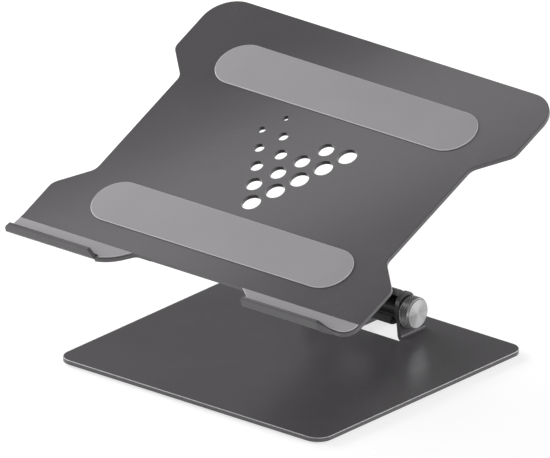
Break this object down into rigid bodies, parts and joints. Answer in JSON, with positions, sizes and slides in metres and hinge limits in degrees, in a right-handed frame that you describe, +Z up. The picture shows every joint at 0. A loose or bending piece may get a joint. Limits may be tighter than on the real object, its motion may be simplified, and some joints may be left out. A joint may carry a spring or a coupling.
{
  "type": "adjustable laptop stand",
  "caption": "Folding Z-shaped laptop stand: flat base, hinged arm and tilting perforated tray with silicone pads, front hooks and a knurled clamping knob.",
  "frame": {"origin": "on the desk, under the middle of the stand's outline", "axes": "+X to the user's right along the hinges, +Y away from the user, +Z up"},
  "size_m": [0.2884, 0.2224, 0.1855],
  "materials": {
    "anodised_sheet": "satin dark grey",
    "black_anodised": "satin black",
    "silicone": "matte light grey",
    "black_steel": "glossy black",
    "black_polymer": "matte black",
    "turned_metal": "bright, turned face and knurled rim"
  },
  "bodies": {
    "base": {"base_plate": "anodised_sheet", "foot_front_left": "silicone", "foot_front_right": "silicone", "foot_rear_left": "silicone", "foot_rear_right": "silicone", "hinge_bolt": "black_steel", "hinge_washer_left": "black_polymer", "hinge_washer_right": "black_polymer", "knob_collar": "black_polymer"},
    "clamp_knob": {"knob": "turned_metal"},
    "arm": {"arm_plate": "black_anodised", "lower_barrel": "black_steel", "upper_barrel": "black_steel"},
    "tray": {"tray_plate": "anodised_sheet", "front_pad": "silicone", "back_pad": "silicone", "hook_pad_left": "silicone", "hook_pad_right": "silicone", "tray_bracket_left": "anodised_sheet", "tray_bracket_right": "anodised_sheet", "bracket_screws": "black_steel", "tray_bolt": "black_steel", "tray_washer_left": "black_polymer", "tray_washer_right": "black_polymer", "nut_washer": "black_steel", "tray_nut": "black_steel"}
  },
  "joints": [
    {"name": "arm_hinge", "type": "hinge", "parent": "base", "child": "arm", "pos_m": [0, 0.0772, 0.0221], "axis": [-1, 0, 0], "range_deg": [-23.4, 12]},
    {"name": "tray_hinge", "type": "hinge", "parent": "arm", "child": "tray", "pos_m": [0, -0.06043, 0.09054], "axis": [1, 0, 0], "range_deg": [-50.8, 6.7]},
    {"name": "knob_turn", "type": "hinge", "parent": "base", "child": "clamp_knob", "pos_m": [0, 0.0772, 0.0221], "axis": [1, 0, 0], "range_deg": [0, 360]}
  ]
}
